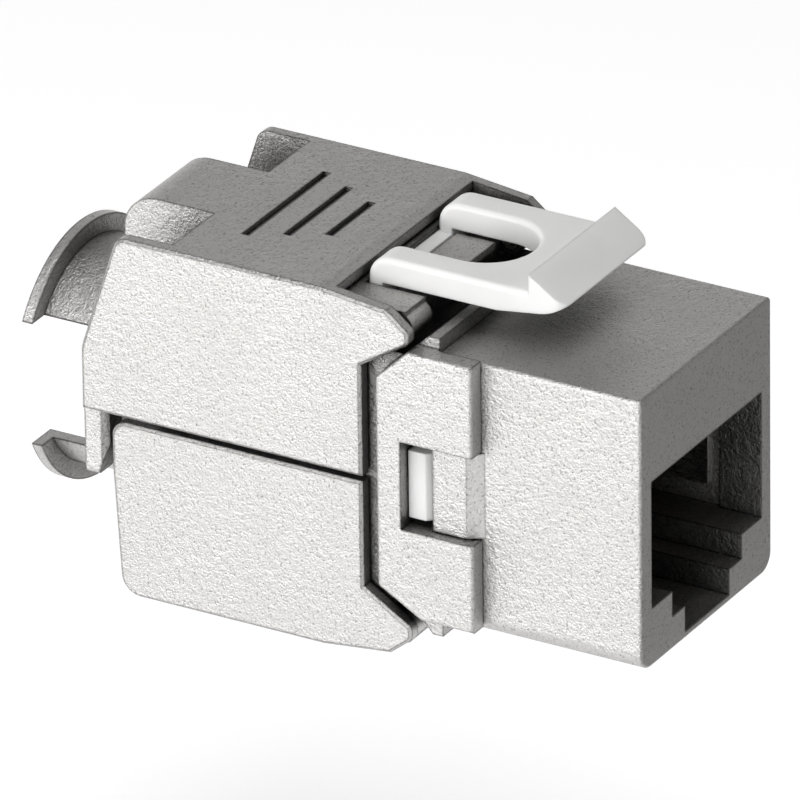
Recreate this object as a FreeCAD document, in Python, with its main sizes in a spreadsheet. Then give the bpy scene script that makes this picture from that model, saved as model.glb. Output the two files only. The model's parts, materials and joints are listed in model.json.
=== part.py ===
import FreeCAD, Part
import Sketcher
import math
import os
import re

# Keystone jack with two hinged terminating doors, in millimetres.
# X runs across the jack, Y from the port face to the cable end, Z up.  Every
# body is drawn from the port face and about the plane midway between the
# doors, then moved so that the origin lies under the middle of the jack, on
# the surface that the lower door rests on.

SIZES = {
    # front housing
    "housing_width": 14.5,
    "housing_height": 16.3,
    "housing_drop": 0.1,         # the housing's middle lies this far below the doors' middle
    "housing_length": 12.3,
    "housing_roof": 1.25,
    "housing_corner": 1.1,
    "port_wall": 1.15,
    "port_height": 7.55,
    "port_sill": 3.5,            # underside of the housing up to the port's floor
    "port_depth": 9.0,
    "key_width": 7.7,
    "key_depth": 1.5,
    "clip_width": 4.9,
    "clip_depth": 1.55,
    "bay_shoulder": 0.15,
    "bay_front": 2.6,
    "tail_bevel": 0.3,
    "boss_stand": 0.55,          # snap bosses on the housing's sides
    "boss_lead": 0.17,
    "boss_ramp": 0.85,
    "boss_tail": 0.3,
    "boss_gap": 0.08,
    "boss_root": 0.5,
    "boss_round": 0.25,
    "casting_round": 0.2,
    "casting_bevel": 0.15,
    # rear frame
    "cheek_wall": 1.12,
    "frame_crown": 0.17,         # cheeks above the housing's top
    "frame_skirt": 0.53,         # and short of its underside
    "frame_overlap": 2.58,
    "frame_tail": 0.8,
    "frame_cut_high": 1.87,
    "frame_cut_low": 1.54,
    "notch_low": 2.45,
    "notch_height": 5.25,
    "notch_run": 1.85,
    "sleeve_gap": 0.26,
    "sleeve_wall": 0.5,
    "sleeve_start": 0.55,
    "sleeve_run": 4.05,
    "deck_rise": 0.97,
    "lip_reach": 0.42,
    "lip_thickness": 0.42,
    "rib_height": 0.8,
    "rib_length": 0.65,
    "rib_run": 1.43,
    "trough_drop": 1.5,
    "trough_floor": 0.85,
    "assembly_gap": 0.02,
    # hinges
    "hinge_setback": 2.55,
    "hinge_rise": 0.8,
    "nose_crest": 1.33,
    "nose_crest_run": 0.25,
    "nose_tip": 1.1,
    "nose_height": 0.25,
    "nose_chin": 0.45,
    "nose_round": 0.45,
    "knuckle_radius": 0.85,
    "knuckle_gap": 0.1,
    "pin_radius": 0.5,
    "pin_grip": 0.46,            # how far a pin runs into the door's ear
    "pin_play": 0.05,
    # doors
    "door_inset": 0.26,
    "door_wall": 0.75,
    "door_skin": 0.65,
    "roof_gap": 0.18,
    "door_length": 17.0,         # hinge to the rear end of the roof
    "flank_setback": 1.85,
    "flank_drop": 2.3,
    "slope_run": 4.45,
    "split_drop": 0.19,
    "split_gap": 0.3,
    "window_gap": 0.4,
    "floor_setback": 2.75,
    "roof_round": 0.8,
    "shoulder_run": 2.35,
    "shoulder_drop": 7.1,
    "shoulder_round": 2.0,
    "upper_backwall": 1.3,
    "floor_run": 0.05,
    "floor_round": 1.2,
    "lower_run": 0.5,
    "lower_shoulder_drop": 7.25,
    "lower_lip_round": 0.9,
    "lower_backwall": 1.3,
    "spine_width": 5.8,
    "spine_stand": 0.2,
    "spine_round": 2.1,
    "spine_wall": 0.7,
    "notch_gap": 0.3,
    "notch_depth": 5.2,
    "tongue_clear": 0.25,
    "tongue_lap": 0.14,
    "tongue_depth": 4.16,
    "tongue_gap": 0.65,
    "tongue_round": 0.3,
    "tongue_lead": 0.57,
    "tongue_lead_length": 1.85,
    "tongue_bevel": 0.35,
    "groove_setback": 5.95,
    "groove_pitch": 2.0,
    "groove_length": 8.8,
    "groove_step": 2.1,
    "groove_width": 0.45,
    "groove_depth": 0.3,
    # cable collars
    "collar_drop": 0.69,
    "collar_bore": 5.65,
    "collar_wall": 0.7,
    "flange_lip": 1.05,
    "flange_thickness": 0.65,
    "upper_collar_run": 4.8,
    "upper_collar_cut": 3.94,
    "lower_collar_run": 5.92,
    "lower_collar_cut": 3.06,
    # latch
    "latch_width": 9.5,
    "latch_stand": 3.5,          # latch's top above the housing's top
    "latch_thickness": 1.5,
    "latch_length": 12.1,
    "latch_setback": 3.25,
    "ridge_run": 2.2,
    "ridge_rise": 1.05,
    "tip_drop": 0.5,
    "leg_thickness": 0.9,
    "foot_depth": 1.57,
    "foot_radius": 0.5,
    "window_width": 5.6,
    "window_run": 4.6,
    "bridge_drop": 0.22,
    "latch_bend": 1.35,
    "latch_edge": 0.3,
    "latch_corner": 0.8,
    "chin_run": 4.2,
    "chin_setback": 1.1,
    "chin_rise": 0.45,
    "chin_round": 3.0,
    "tip_land": 0.06,
    "latch_flex_gap": 0.57,
    "latch_side_gap": 0.1,
    "latch_slot_gap": 0.35,
    # port contacts and their carrier
    "carrier_play": 0.05,
    "carrier_wall": 1.65,
    "comb_cover": 1.6,
    "comb_width": 0.5,
    "contact_pitch": 1.02,
    "contact_width": 0.35,
    "contact_thickness": 0.25,
    "contact_sink": 0.25,
    "contact_bend": 0.45,
    "contact_stand": 0.4,
    "tip_gap": 1.45,
    "tip_reach": 2.4,
    # circuit board and wire terminals
    "board_gap": 0.6,
    "board_headroom": 0.4,
    "board_thickness": 1.6,
    "block_gap": 0.1,
    "block_headroom": 0.3,
    "block_play": 0.05,
    "core_height": 4.0,
    "lug_gap": 0.1,
    "lug_recess": 0.77,
    "lug_bevel": 0.3,
    "lug_lead": 0.4,
    "lug_play": 0.08,
    "wire_pitch": 3.2,
    "channel_width": 1.3,
    "channel_depth": 1.6,
    "channel_setback": 0.3,
    "blade_width": 2.0,
    "blade_thickness": 0.4,
    "blade_slot": 0.24,
    "blade_mouth": 0.7,
    "blade_slot_depth": 1.7,
    "blade_recess": 0.2,
    "blade_setback": 2.8,
    "blade_row_step": 3.0,
    "blade_tail_width": 0.8,
    "blade_play": 0.05,
    "presser_side_gap": 0.96,
    "presser_setback": 0.7,
    "presser_end_gap": 1.1,
    "presser_gap": 0.3,
    "presser_rib": 1.0,
    "presser_rib_depth": 0.85,
    "presser_rib_inset": 0.2,
    "presser_relief": 1.4,
    "guide_side_gap": 0.4,
    "guide_headroom": 0.46,
    "guide_thickness": 2.2,
    "guide_hole": 1.45,
    "guide_hole_x": 3.1,
    "guide_hole_z": 2.2,
    "guide_cross": 0.7,
    "guide_cross_length": 0.4,
    "guide_cross_inset": 1.5,
    "guide_play": 0.05,
    # shield springs in the port's sides
    "spring_setback": 0.7,
    "spring_gap": 1.15,
    "spring_height": 3.0,
    "spring_sill": 1.25,
    "spring_thickness": 0.18,
    "spring_bow": 0.14,
    "spring_contact": 0.01,
}

# Places that follow from the sizes: Y is measured from the port face, Z from
# the plane midway between the doors.
PLACES = {
    "housing_top": "housing_height / 2 - housing_drop",
    "housing_base": "housing_height / 2 + housing_drop",
    "port_width": "housing_width - port_wall * 2",
    "port_floor": "port_sill - housing_base",
    "port_roof": "port_floor + port_height",
    "key_floor": "port_floor - key_depth",
    "clip_floor": "key_floor - clip_depth",
    "bay_roof": "housing_top - housing_roof",
    "bay_width": "port_width + bay_shoulder * 2",
    "tail": "housing_length + assembly_gap",
    "hinge_y": "housing_length + hinge_setback",
    "hinge_reach": "housing_height / 2 + hinge_rise",
    "frame_width": "housing_width + cheek_wall * 2",
    "frame_top": "housing_top + frame_crown",
    "frame_low": "frame_skirt - housing_base",
    "frame_front": "housing_length - frame_overlap",
    "frame_rear": "hinge_y + frame_tail",
    "notch_rear": "housing_length + notch_run",
    "boss_front": "frame_front - boss_lead",
    "boss_rear": "housing_length + boss_tail",
    "boss_outer": "housing_width / 2 + boss_stand",
    "boss_inner": "housing_width / 2 - boss_root",
    "door_width": "frame_width - door_inset * 2",
    "inner_half": "door_width / 2 - door_wall",
    "sleeve_width": "(inner_half - sleeve_gap) * 2",
    "sleeve_front": "hinge_y + sleeve_start",
    "sleeve_rear": "hinge_y + sleeve_run",
    "cavity_width": "sleeve_width - sleeve_wall * 2",
    "deck_reach": "hinge_reach + deck_rise",
    "trough_reach": "hinge_reach - trough_drop",
    "cavity_half": "trough_reach - trough_floor",
    "lip_front": "hinge_y - lip_reach",
    "rib_foot": "tail + rib_run",
    "arm_edge": "latch_width / 2 + latch_side_gap",
    "arm_inner": "window_width / 2 - latch_side_gap",
    "knuckle_inner": "arm_edge + knuckle_gap",
    "pin_outer": "inner_half + pin_grip",
    "roof_inner": "deck_reach + roof_gap",
    "door_half": "roof_inner + door_skin",
    "nose_front": "hinge_y - nose_tip",
    "flank_front": "hinge_y + flank_setback",
    "flank_rise": "hinge_reach - flank_drop",
    "slope_end": "hinge_y + slope_run",
    "floor_front": "hinge_y + floor_setback",
    "roof_rear": "hinge_y + door_length",
    "floor_rear": "roof_rear + floor_run",
    "upper_rear": "roof_rear + shoulder_run",
    "upper_wall": "upper_rear - upper_backwall",
    "upper_shoulder": "door_half - shoulder_drop",
    "upper_lip": "split_gap / 2 - split_drop",
    "lower_rear": "roof_rear + lower_run",
    "lower_wall": "lower_rear - lower_backwall",
    "lower_shoulder": "door_half - lower_shoulder_drop",
    "lower_lip": "-split_gap / 2 - split_drop",
    "tongue_front": "lower_rear + tongue_gap",
    "tongue_inner": "collar_bore + tongue_clear",
    "tongue_outer": "inner_half + tongue_lap",
    "tongue_end": "upper_lip - tongue_depth",
    "spine_rear": "upper_rear + spine_stand",
    "spine_base": "collar_bore - collar_drop - 0.1",
    "neck_radius": "collar_bore + collar_wall",
    "flange_radius": "neck_radius + flange_lip",
    "upper_collar_end": "upper_rear + upper_collar_run",
    "lower_collar_end": "lower_rear + lower_collar_run",
    "groove_rear": "roof_rear - groove_setback",
    "latch_top": "housing_top + latch_stand",
    "latch_underside": "latch_top - latch_thickness",
    "latch_rear": "hinge_y + latch_setback",
    "latch_front": "latch_rear - latch_length",
    "roof_front": "latch_rear + window_gap",
    "leg_front": "latch_rear - leg_thickness",
    "leg_foot": "deck_reach - foot_depth",
    "foot_seat": "leg_foot - foot_radius - assembly_gap",
    "ridge_y": "latch_front + ridge_run",
    "chin_y": "latch_front + chin_setback",
    "tip_level": "latch_top - tip_drop + tip_land",
    "window_front": "latch_front + window_run",
    "bridge_height": "deck_reach - bridge_drop",
    "comb_roof": "bay_roof - comb_cover",
    "contact_level": "comb_roof - contact_sink",
    "contact_front": "bay_front + contact_stand",
    "tip_y": "housing_length - carrier_wall - tip_gap",
    "tip_z": "port_roof - tip_reach",
    "carrier_floor": "port_floor + carrier_play",
    "spring_face": "bay_width / 2 - spring_contact",
    "board_front": "housing_length + carrier_play",
    "board_width": "cavity_width - board_gap * 2",
    "board_height": "(cavity_half - board_headroom) * 2",
    "block_front": "board_front + board_thickness + block_play",
    "block_width": "cavity_width - block_gap * 2",
    "block_base": "core_height / 2 + block_play",
    "block_top": "cavity_half - block_headroom",
    "block_rear": "lower_wall - guide_play - guide_cross_length - guide_thickness",
    "notch_front": "block_rear + notch_gap",
    "notch_floor": "door_half - notch_depth",
    "lug_inner": "board_width / 2 + lug_gap",
    "lug_outer": "frame_width / 2 - lug_recess",
    "channel_front": "sleeve_rear + channel_setback",
    "blade_row": "channel_front + blade_setback",
    "blade_base": "block_base + block_play",
    "blade_top": "block_top - blade_recess",
    "well_half": "blade_width / 2 + blade_play",
    "well_run": "blade_thickness / 2 + blade_play",
    "tail_half": "blade_tail_width / 2",
    "presser_half": "inner_half - presser_side_gap",
    "presser_front": "sleeve_rear + presser_setback",
    "presser_rear": "notch_front - presser_end_gap",
    "presser_face": "block_top + presser_gap",
    "guide_half": "cavity_width / 2 - guide_side_gap",
    "guide_rise": "spine_base - guide_headroom",
    "guide_rear": "block_rear + guide_thickness",
    "spring_front": "bay_front + spring_setback",
    "spring_length": "housing_length - carrier_wall - spring_gap - spring_front",
    "spring_base": "port_floor + spring_sill",
}

doc = FreeCAD.newDocument("keystone_jack")
sheet = doc.addObject("Spreadsheet::Sheet", "sizes")
for row, (alias, number) in enumerate(SIZES.items(), start=1):
    sheet.set("A%d" % row, alias)
    sheet.set("B%d" % row, str(number))
    sheet.setAlias("B%d" % row, alias)
for row, (alias, formula) in enumerate(PLACES.items(), start=len(SIZES) + 2):
    sheet.set("A%d" % row, alias)
    sheet.set("B%d" % row, "=" + formula)
    sheet.setAlias("B%d" % row, alias)
doc.recompute()

NODES = []
ROW_MIDDLE = "door_half"
ROW_CENTRE = "-upper_collar_end / 2"
MIRROR = {"upper": "", "lower": "-"}


def bound(text):
    """Points each size named in an expression at its spreadsheet cell."""
    known = set(SIZES) | set(PLACES)
    return re.sub(r"[a-z][a-z_]+", lambda m: "sizes." + m.group() if m.group() in known else m.group(), text)


def value(name):
    return float(sheet.get(name))


def new_body(label):
    body = doc.addObject("PartDesign::Body", label)
    body.setExpression("Placement.Base.y", bound(ROW_CENTRE))
    body.setExpression("Placement.Base.z", bound(ROW_MIDDLE))
    NODES.append(body)
    return body


def origin_part(body, role):
    return next(feature for feature in body.Origin.OriginFeatures if feature.Role == role)


def new_sketch(body, label, plane, offset=None):
    sketch = body.newObject("Sketcher::SketchObject", label)
    sketch.AttachmentSupport = [(origin_part(body, plane + "_Plane"), "")]
    sketch.MapMode = "FlatFace"
    if offset:
        side = "-" if plane == "XZ" else ""      # the XZ plane faces -Y
        sketch.setExpression("AttachmentOffset.Base.z", bound("%s(%s)" % (side, offset)))
    return sketch


def pin_point(sketch, element, end, across, along):
    """Ties one sketch point to two expressions measured from the origin."""
    point = sketch.getPoint(element, end)
    for kind, seed, text in (("DistanceX", point.x, across), ("DistanceY", point.y, along)):
        number = sketch.addConstraint(Sketcher.Constraint(kind, -1, 1, element, end, seed))
        sketch.setExpression("Constraints[%d]" % number, bound(text))


def outline(body, label, plane, loops, offset=None):
    """A sketch of one or more closed outlines, each a list of corners."""
    sketch = new_sketch(body, label, plane, offset)
    if isinstance(loops[0][0], str):
        loops = [loops]
    for corners in loops:
        first = sketch.GeometryCount
        count = len(corners)
        turns = [2 * math.pi * n / count for n in range(count + 1)]
        seeds = [FreeCAD.Vector(9 * math.cos(a), 9 * math.sin(a), 0) for a in turns]
        for n in range(count):
            sketch.addGeometry(Part.LineSegment(seeds[n], seeds[n + 1]), False)
        for n in range(count):
            sketch.addConstraint(Sketcher.Constraint("Coincident", first + n, 2, first + (n + 1) % count, 1))
        for n, (across, along) in enumerate(corners):
            pin_point(sketch, first + n, 1, across, along)
    return sketch


def box_loop(left, right, low, high):
    return [(left, low), (right, low), (right, high), (left, high)]


def disc(body, label, plane, across, along, radius, offset=None):
    sketch = new_sketch(body, label, plane, offset)
    sketch.addGeometry(Part.Circle(FreeCAD.Vector(1, 1, 0), FreeCAD.Vector(0, 0, 1), 1), False)
    pin_point(sketch, 0, 3, across, along)
    number = sketch.addConstraint(Sketcher.Constraint("Radius", 0, 1.0))
    sketch.setExpression("Constraints[%d]" % number, bound(radius))
    return sketch


def arch(body, label, inner, outer, cut, side, offset):
    """Half a cable collar seen from its end: two arcs closed by level lines."""
    sketch = new_sketch(body, label, "XZ", offset)
    middle = FreeCAD.Vector(0, -value("collar_drop"), 0)
    facing = 1 if side == "upper" else -1
    level = middle.y + facing * value(cut)
    ends = []
    for radius in (inner, outer):
        size = value(radius)
        lean = math.asin(value(cut) / size)
        start, stop = (lean, math.pi - lean) if facing > 0 else (math.pi + lean, 2 * math.pi - lean)
        circle = Part.Circle(middle, FreeCAD.Vector(0, 0, 1), size)
        arc = sketch.addGeometry(Part.ArcOfCircle(circle, start, stop), False)
        ends.append(size * math.cos(lean))
    for reach in (-1, 1):
        near = FreeCAD.Vector(reach * ends[0], level, 0)
        far = FreeCAD.Vector(reach * ends[1], level, 0)
        sketch.addGeometry(Part.LineSegment(near, far), False)
    left, right = (2, 1) if facing > 0 else (1, 2)   # which end of each arc is on -X
    for line, end in ((2, left), (3, right)):
        sketch.addConstraint(Sketcher.Constraint("Coincident", line, 1, 0, end))
        sketch.addConstraint(Sketcher.Constraint("Coincident", line, 2, 1, end))
        sketch.addConstraint(Sketcher.Constraint("Horizontal", line))
        number = sketch.addConstraint(Sketcher.Constraint("DistanceY", -1, 1, line, 1, level))
        sketch.setExpression("Constraints[%d]" % number,
                             bound("-collar_drop %s %s" % ("+" if facing > 0 else "-", cut)))
    pin_point(sketch, 0, 3, "0", "-collar_drop")
    sketch.addConstraint(Sketcher.Constraint("Coincident", 1, 3, 0, 3))
    for element, radius in ((0, inner), (1, outer)):
        seed = sketch.Geometry[element].Radius
        number = sketch.addConstraint(Sketcher.Constraint("Radius", element, seed))
        sketch.setExpression("Constraints[%d]" % number, bound(radius))
    return sketch


def extrude(body, kind, sketch, length, both, back):
    feature = body.newObject("PartDesign::" + kind, sketch.Label + "_" + kind.lower())
    feature.Profile = sketch
    feature.Refine = True
    if length is None:
        feature.Type = "ThroughAll"
    else:
        feature.setExpression("Length", bound(length))
    if both:
        feature.Midplane = True
    feature.Reversed = back
    sketch.Visibility = False
    doc.recompute()
    return feature


def add(body, sketch, length, both=False, back=False):
    return extrude(body, "Pad", sketch, length, both, back)


def cut(body, sketch, length=None, both=False, back=False):
    return extrude(body, "Pocket", sketch, length, both, back)


def mirrored(body, feature, plane="YZ"):
    copy = body.newObject("PartDesign::Mirrored", feature.Label + "_mirror")
    copy.Originals = [feature]
    copy.MirrorPlane = (origin_part(body, plane + "_Plane"), [""])
    body.Tip = copy
    doc.recompute()
    return copy


def row_of(body, feature, count, pitch):
    """Repeats a feature along +X."""
    copy = body.newObject("PartDesign::LinearPattern", feature.Label + "_row")
    copy.Originals = [feature]
    copy.Direction = (origin_part(body, "X_Axis"), [""])
    copy.setExpression("Length", bound("%s * %d" % (pitch, count - 1)))
    copy.Occurrences = count
    body.Tip = copy
    doc.recompute()
    return copy


def dress(body, kind, label, size, chosen):
    """Rounds or bevels the edges that the rule picks from the body so far."""
    shape = body.Tip.Shape
    names = ["Edge%d" % n for n, edge in enumerate(shape.Edges, start=1) if chosen(edge, shape.BoundBox)]
    feature = body.newObject("PartDesign::" + kind, label)
    feature.Base = (body.Tip if body.Tip is not feature else feature.BaseFeature, names)
    feature.setExpression("Radius" if kind == "Fillet" else "Size", bound(size))
    doc.recompute()
    return feature


def runs(edge, axis):
    """True where a straight edge lies along the axis."""
    if not isinstance(edge.Curve, Part.Line):
        return False
    return abs(abs(getattr(edge.Curve.Direction, axis)) - 1) < 1e-6


def at(level, target):
    return abs(level - target) < 1e-3


def on_side(edge, box):
    """True for the outline of the body's two flat side faces."""
    return at(edge.BoundBox.XMin, edge.BoundBox.XMax) and at(abs(edge.BoundBox.XMin), box.XMax)


def mirror_node(label, source, normal):
    """A second piece that is the first one's mirror image."""
    node = doc.addObject("Part::Mirroring", label)
    node.Source = source
    node.Normal = normal
    if normal.z:
        node.setExpression("Base.z", bound(ROW_MIDDLE))
    NODES.append(node)
    return node


# ---- front housing: port, contact bay and the tail that plugs into the frame ----
housing = new_body("front_housing")
add(housing, outline(housing, "housing_block", "XZ", box_loop(
    "-housing_width / 2", "housing_width / 2", "-housing_base", "housing_top")), "housing_length", back=True)
dress(housing, "Fillet", "housing_corners", "housing_corner",
      lambda edge, box: runs(edge, "y") and at(edge.BoundBox.ZMax, box.ZMin))
dress(housing, "Chamfer", "housing_tail", "tail_bevel",
      lambda edge, box: runs(edge, "z") and at(edge.BoundBox.YMin, box.YMax))
boss = add(housing, outline(housing, "side_boss", "XY", [
    ("boss_inner", "boss_front"), ("housing_width / 2", "boss_front"),
    ("boss_outer", "boss_front + boss_ramp"), ("boss_outer", "boss_rear"), ("boss_inner", "boss_rear")],
    "boss_gap - notch_low"), "notch_height - boss_gap * 2")
mirrored(housing, boss)
dress(housing, "Fillet", "boss_edges", "boss_round", lambda edge, box: runs(edge, "z") and at(
    edge.BoundBox.YMin, value("boss_rear")) and at(abs(edge.BoundBox.XMax), value("boss_outer")))
dress(housing, "Fillet", "housing_edges", "casting_round",
      lambda edge, box: at(edge.BoundBox.YMax, box.YMin) or
      (runs(edge, "y") and at(edge.BoundBox.ZMin, box.ZMax)))
half_port = [("port_width / 2", "port_roof"), ("port_width / 2", "port_floor"),
             ("key_width / 2", "port_floor"), ("key_width / 2", "key_floor"),
             ("clip_width / 2", "key_floor"), ("clip_width / 2", "clip_floor")]
port_loop = half_port + [("-" + across, along) for across, along in reversed(half_port)]
cut(housing, outline(housing, "port", "XZ", port_loop), "port_depth")
cut(housing, outline(housing, "contact_bay", "XZ", box_loop(
    "-bay_width / 2", "bay_width / 2", "port_floor", "bay_roof"), "bay_front"))

# ---- rear frame: side cheeks, hinge troughs and the sleeve round the terminals ----
frame = new_body("rear_frame")
add(frame, outline(frame, "cheeks", "YZ", [
    ("frame_front", "frame_low"), ("frame_rear - frame_cut_low * 1.72", "frame_low"),
    ("frame_rear", "frame_low + frame_cut_low"), ("frame_rear", "frame_top - frame_cut_high"),
    ("frame_rear - frame_cut_high * 1.04", "frame_top"), ("frame_front", "frame_top")]),
    "frame_width", both=True)
dress(frame, "Fillet", "cheek_edges", "casting_round", on_side)
add(frame, outline(frame, "sleeve", "XZ", box_loop(
    "-sleeve_width / 2", "sleeve_width / 2", "-deck_reach", "deck_reach"), "sleeve_front"),
    "sleeve_rear - sleeve_front", back=True)
for side, sign in MIRROR.items():
    rib_base = "housing_top" if side == "upper" else "housing_base"
    add(frame, outline(frame, side + "_rib", "YZ", [
        ("tail", sign + "trough_reach"), ("tail", sign + "(%s + rib_height)" % rib_base),
        ("tail + rib_length", sign + "(%s + rib_height)" % rib_base),
        ("rib_foot", sign + "(housing_top + 0.1)"), ("rib_foot", sign + "trough_reach")]),
        "sleeve_width", both=True)
    add(frame, outline(frame, side + "_lip", "YZ", [
        ("lip_front", sign + "deck_reach"), ("sleeve_front + 0.2", sign + "deck_reach"),
        ("sleeve_front + 0.2", sign + "cavity_half"), ("rib_foot - 0.1", sign + "cavity_half"),
        ("rib_foot - 0.1", sign + "trough_reach"), ("sleeve_front", sign + "trough_reach"),
        ("sleeve_front", sign + "(deck_reach - lip_thickness)"),
        ("lip_front", sign + "(deck_reach - lip_thickness)")]), "sleeve_width", both=True)
    knuckle = add(frame, disc(frame, side + "_knuckle", "YZ", "hinge_y", sign + "hinge_reach",
                              "knuckle_radius", "knuckle_inner"), "sleeve_width / 2 - knuckle_inner")
    mirrored(frame, knuckle)
cut(frame, outline(frame, "cavity", "XZ", box_loop(
    "-cavity_width / 2", "cavity_width / 2", "-cavity_half", "cavity_half")))
cut(frame, outline(frame, "housing_seat", "XY", box_loop(
    "-housing_width / 2 - assembly_gap", "housing_width / 2 + assembly_gap", "frame_front - 1", "tail")),
    "housing_height + 1", both=True)
cut(frame, outline(frame, "side_notch", "YZ", box_loop(
    "frame_front - 1", "notch_rear", "-notch_low", "notch_height - notch_low")), "frame_width + 1", both=True)
for side, sign in MIRROR.items():
    cut(frame, disc(frame, side + "_pin_bore", "YZ", "hinge_y", sign + "hinge_reach",
                    "pin_radius + assembly_gap / 2"), "sleeve_width + 1", both=True)
cut(frame, outline(frame, "latch_seat", "XY", box_loop(
    "-arm_edge", "arm_edge", "leg_front - latch_slot_gap",
    "latch_rear - leg_thickness / 2 + foot_radius + assembly_gap"), "deck_reach"), "deck_reach - foot_seat")
cut(frame, outline(frame, "arm_relief", "XY", [
    box_loop("-arm_edge", "-arm_inner", "lip_front - 0.1", "leg_front"),
    box_loop("arm_inner", "arm_edge", "lip_front - 0.1", "leg_front")], "deck_reach"), "latch_flex_gap")


# ---- doors: cast shells that swing on the front pins ----
def door_shell(label, side, roof_rear, rear, shoulder, backwall, inner_wall, bend, lip, window, corners):
    """Side plates, skin, hinge noses and back wall of one door."""
    sign = MIRROR[side]
    turn = 1 if side == "upper" else -1
    body = new_body(label)
    add(body, outline(body, label + "_flank", "YZ", [
        (roof_rear, sign + "door_half"), ("slope_end", sign + "door_half"),
        ("hinge_y + nose_crest_run", sign + "(hinge_reach + nose_crest)"),
        ("nose_front", sign + "(hinge_reach + nose_height)"),
        ("nose_front", sign + "(hinge_reach - nose_chin)"),
        ("flank_front", sign + "flank_rise"), ("flank_front", lip),
        (rear, lip), (rear, sign + shoulder)]), "door_width", both=True)
    for radius, y, height in corners:
        dress(body, "Fillet", "%s_%s" % (label, radius), radius, lambda e, box: runs(e, "x") and at(
            e.BoundBox.YMax, value(y)) and at(e.BoundBox.ZMax, height(box)))
    dress(body, "Fillet", label + "_nose", "nose_round",
          lambda e, box: runs(e, "x") and at(e.BoundBox.YMax, value("nose_front")))
    cut(body, outline(body, label + "_inside", "YZ", [
        ("hinge_y - 2", sign + "(door_half + 1)"), (window, sign + "(door_half + 1)"),
        (window, sign + "roof_inner"), ("%s - %s * 0.65" % (roof_rear, backwall), sign + "roof_inner"),
        (inner_wall, sign + bend), (inner_wall, lip + " - %d" % turn),
        ("hinge_y - 2", lip + " - %d" % turn)]), "inner_half * 2", both=True)
    dress(body, "Chamfer", label + "_edges", "casting_bevel", on_side)
    return body


def half_collar(body, side, start, end, level):
    """Neck and tie flange that close round one half of the cable's shield."""
    add(body, arch(body, side + "_neck", "collar_bore", "neck_radius", level, side, start),
        "%s - (%s)" % (end, start), back=True)
    add(body, arch(body, side + "_flange", "collar_bore", "flange_radius", level, side,
                   end + " - flange_thickness"), "flange_thickness", back=True)
    cut(body, disc(body, side + "_collar_bore", "XZ", "0", "-collar_drop", "collar_bore", start + " - 1"))


upper_door = door_shell("upper_door", "upper", "roof_rear", "upper_rear", "upper_shoulder",
                        "upper_backwall", "upper_wall", "(upper_shoulder - 0.4)", "upper_lip", "roof_front",
                        [("shoulder_round", "upper_rear", lambda box: value("upper_shoulder")),
                         ("roof_round", "roof_rear", lambda box: box.ZMax)])
spine = add(upper_door, outline(upper_door, "spine", "YZ", box_loop(
    "notch_front", "spine_rear", "spine_base", "door_half")), "spine_width", both=True)
dress(upper_door, "Fillet", "spine_tail", "spine_round", lambda edge, box: runs(edge, "x") and at(
    edge.BoundBox.ZMax, value("door_half")) and at(edge.BoundBox.YMax, value("spine_rear")))
notch = cut(upper_door, outline(upper_door, "rear_notch", "XZ", [
    box_loop("spine_width / 2", "inner_half", "notch_floor", "door_half + 1"),
    box_loop("-inner_half", "-spine_width / 2", "notch_floor", "door_half + 1")], "notch_front"))
cut(upper_door, outline(upper_door, "spine_hollow", "YZ", box_loop(
    "notch_front - 1", "spine_rear - spine_wall", "0", "roof_inner")),
    "spine_width - spine_wall * 2", both=True)
tongue = add(upper_door, outline(upper_door, "tongue", "YZ", [
    ("tongue_front", "1"), ("spine_rear", "1"), ("spine_rear", "tongue_end"),
    ("tongue_front + tongue_lead", "tongue_end"), ("tongue_front", "tongue_end + tongue_lead_length")],
    "tongue_inner"), "tongue_outer - tongue_inner")
mirrored(upper_door, tongue)
dress(upper_door, "Chamfer", "tongue_bevels", "tongue_bevel", lambda edge, box: runs(edge, "z") and at(
    edge.BoundBox.YMax, value("tongue_front")) and at(abs(edge.BoundBox.XMax), value("tongue_outer")))
dress(upper_door, "Fillet", "tongue_ends", "tongue_round",
      lambda edge, box: runs(edge, "y") and at(edge.BoundBox.ZMax, value("tongue_end")))
half_collar(upper_door, "upper", "upper_wall", "upper_collar_end", "upper_collar_cut")
cut(upper_door, outline(upper_door, "grip_grooves", "XY", [box_loop(
    "-(groove_length - groove_step * %d) / 2" % n, "(groove_length - groove_step * %d) / 2" % n,
    "groove_rear - groove_pitch * %d - groove_width / 2" % n,
    "groove_rear - groove_pitch * %d + groove_width / 2" % n) for n in range(3)], "door_half"), "groove_depth")
cut(upper_door, disc(upper_door, "upper_ear_bore", "YZ", "hinge_y", "hinge_reach",
                     "pin_radius + pin_play"), "(pin_outer + pin_play) * 2", both=True)

lower_door = door_shell("lower_door", "lower", "floor_rear", "lower_rear", "lower_shoulder",
                        "lower_backwall", "lower_wall", "lower_shoulder", "lower_lip", "floor_front",
                        [("floor_round", "floor_rear", lambda box: box.ZMin),
                         ("lower_lip_round", "lower_rear", lambda box: box.ZMax)])
half_collar(lower_door, "lower", "lower_wall", "lower_collar_end", "lower_collar_cut")
cut(lower_door, disc(lower_door, "lower_ear_bore", "YZ", "hinge_y", "-hinge_reach",
                     "pin_radius + pin_play"), "(pin_outer + pin_play) * 2", both=True)

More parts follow.
